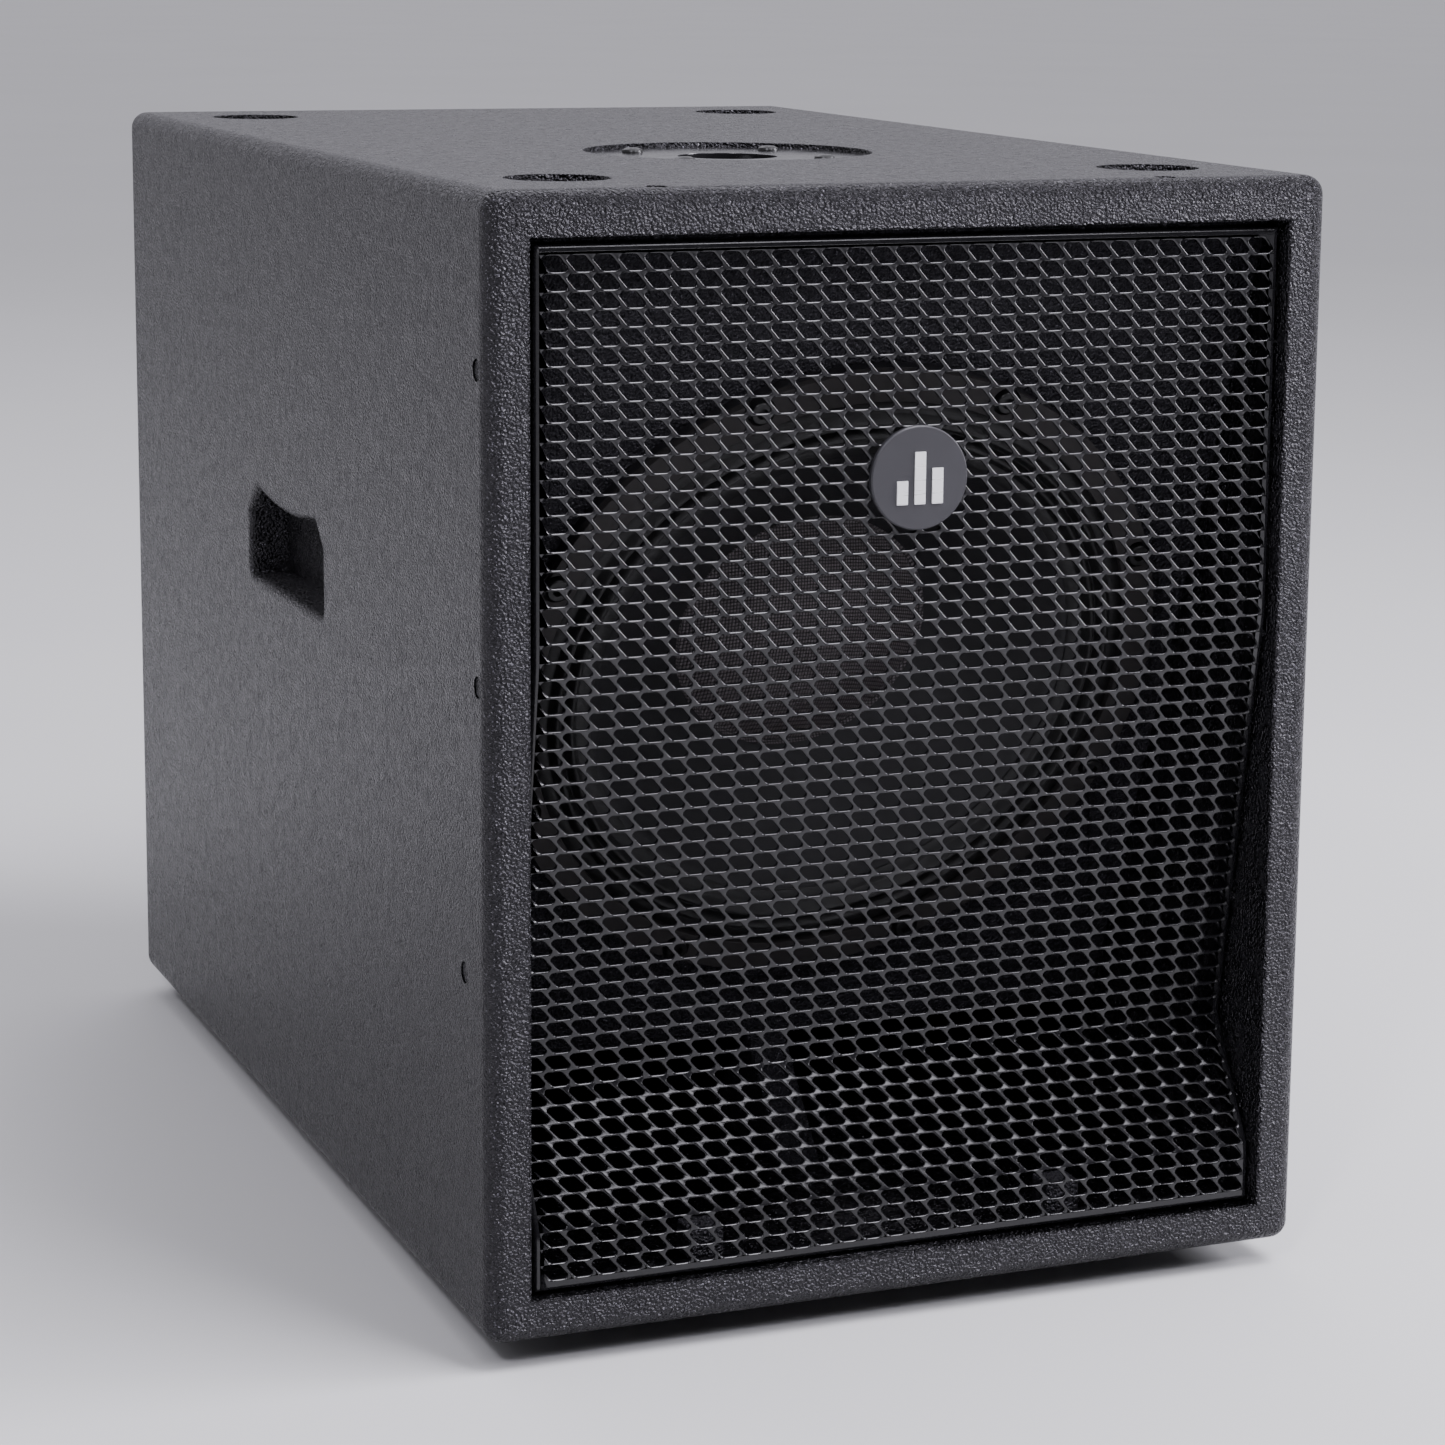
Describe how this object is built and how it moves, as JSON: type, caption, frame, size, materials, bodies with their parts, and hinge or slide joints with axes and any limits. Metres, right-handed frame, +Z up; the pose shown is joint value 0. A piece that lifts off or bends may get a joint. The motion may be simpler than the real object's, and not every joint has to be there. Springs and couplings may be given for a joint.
{
  "type": "pa speaker cabinet",
  "caption": "Compact powered PA subwoofer: coated plywood box, tilted woofer over a slot port, bent steel grille, pole socket on top and amplifier in the back.",
  "frame": {"origin": "middle of the underside, on the surface that the rubber feet stand on", "axes": "+Z up, the front with the grille looks towards -Y, +X to the right when the front is looked at"},
  "size_m": [0.38, 0.622, 0.49],
  "materials": {
    "coated_plywood": "charcoal textured polyurea coat, matt with a fine sparkle",
    "birch_plywood": "bare birch plywood",
    "powder_coated_steel": "satin black powder coat",
    "black_screw": "black oxide steel",
    "painted_screw": "steel, heads painted over with the cabinet",
    "zinc_steel": "zinc plated",
    "foot_rubber": "black rubber",
    "badge_face": "satin dark grey",
    "badge_bars": "satin silver",
    "cast_basket": "cast, painted black",
    "gasket_fibre": "pressed cork and rubber",
    "treated_cloth": "pleated cloth, doped",
    "spider_cloth": "resin dipped cotton",
    "cone_paper": "black pulp paper",
    "cap_mesh": "woven cap cloth",
    "former_plastic": "glass fibre former",
    "copper_wire": "enamelled copper",
    "motor_steel": "turned steel",
    "magnet": "sintered magnet",
    "black_plastic": "moulded black plastic",
    "knob_plastic": "moulded black plastic, ribbed",
    "button_plastic": "light grey",
    "lamp_plastic": "clear tinted lens",
    "anodised_plate": "black anodised",
    "seal_foam": "closed-cell seal",
    "board_laminate": "circuit laminate",
    "wire_red": "red insulation",
    "wire_black": "black insulation",
    "acoustic_foam": "open-cell foam"
  },
  "bodies": {
    "cabinet": {"acoustic_foam": "acoustic_foam", "amp_board": "board_laminate", "amp_box": "zinc_steel", "amp_gasket": "seal_foam", "amp_plate": "anodised_plate", "amp_screws": "black_screw", "badge_bars": "badge_bars", "badge_disc": "badge_face", "baffle": "coated_plywood", "board_posts": "zinc_steel", "bottom_panel": "coated_plywood", "brace_panel": "birch_plywood", "foot_screws": "zinc_steel", "grille": "powder_coated_steel", "grille_screws": "painted_screw", "grille_support_blocks": "coated_plywood", "heat_sink": "anodised_plate", "left_handle_pocket": "coated_plywood", "left_side_panel": "coated_plywood", "mains_inlet": "black_plastic", "mains_transformer": "copper_wire", "motor_magnet": "magnet", "motor_top_plate": "motor_steel", "motor_yoke": "motor_steel", "polarity_switch": "black_plastic", "pole_plate": "powder_coated_steel", "pole_plate_screws": "black_screw", "pole_socket": "powder_coated_steel", "port_divider": "coated_plywood", "port_shelf": "coated_plywood", "potentiometers": "black_plastic", "power_switch_frame": "black_plastic", "rear_panel": "coated_plywood", "right_handle_pocket": "coated_plywood", "right_side_panel": "coated_plywood", "rubber_feet": "foot_rubber", "speaker_wire_black": "wire_black", "speaker_wire_red": "wire_red", "spider": "spider_cloth", "status_lamps": "lamp_plastic", "top_panel": "coated_plywood", "transformer_clamp": "zinc_steel", "wire_grommet": "seal_foam", "woofer_basket": "cast_basket", "woofer_bolts": "black_screw", "woofer_gasket": "gasket_fibre", "woofer_surround": "treated_cloth", "woofer_tee_nuts": "zinc_steel", "woofer_terminal": "black_plastic", "xlr_input": "black_plastic", "xlr_output": "black_plastic"},
    "cone_assembly": {"woofer_cone": "cone_paper", "dust_cap": "cap_mesh", "coil_former": "former_plastic", "voice_coil": "copper_wire"},
    "level_control": {"level_knob": "knob_plastic"},
    "crossover_control": {"crossover_knob": "knob_plastic"},
    "power_switch": {"power_rocker": "black_plastic"},
    "polarity_push": {"polarity_button": "button_plastic"},
    "input_latch": {"xlr_latch": "button_plastic"}
  },
  "joints": [
    {"name": "cone_travel", "type": "slide", "parent": "cabinet", "child": "cone_assembly", "axis": [0, -0.9361, -0.3518], "range_m": [-0.008, 0.008], "stiffness_N_per_m": 6000, "deforming": ["woofer_surround", "spider"]},
    {"name": "level_turn", "type": "hinge", "parent": "cabinet", "child": "level_control", "pos_m": [0.03, 0.291, 0.225], "axis": [0, 1, 0], "range_deg": [-150, 150]},
    {"name": "crossover_turn", "type": "hinge", "parent": "cabinet", "child": "crossover_control", "pos_m": [0.03, 0.291, 0.173], "axis": [0, 1, 0], "range_deg": [-150, 150]},
    {"name": "power_rock", "type": "hinge", "parent": "cabinet", "child": "power_switch", "pos_m": [-0.078, 0.2835, 0.173], "axis": [-1, 0, 0], "range_deg": [0, 16]},
    {"name": "polarity_press", "type": "slide", "parent": "cabinet", "child": "polarity_push", "axis": [0, -1, 0], "range_m": [0, 0.0025], "stiffness_N_per_m": 600},
    {"name": "latch_press", "type": "slide", "parent": "cabinet", "child": "input_latch", "axis": [0, -1, 0], "range_m": [0, 0.002], "stiffness_N_per_m": 800}
  ]
}
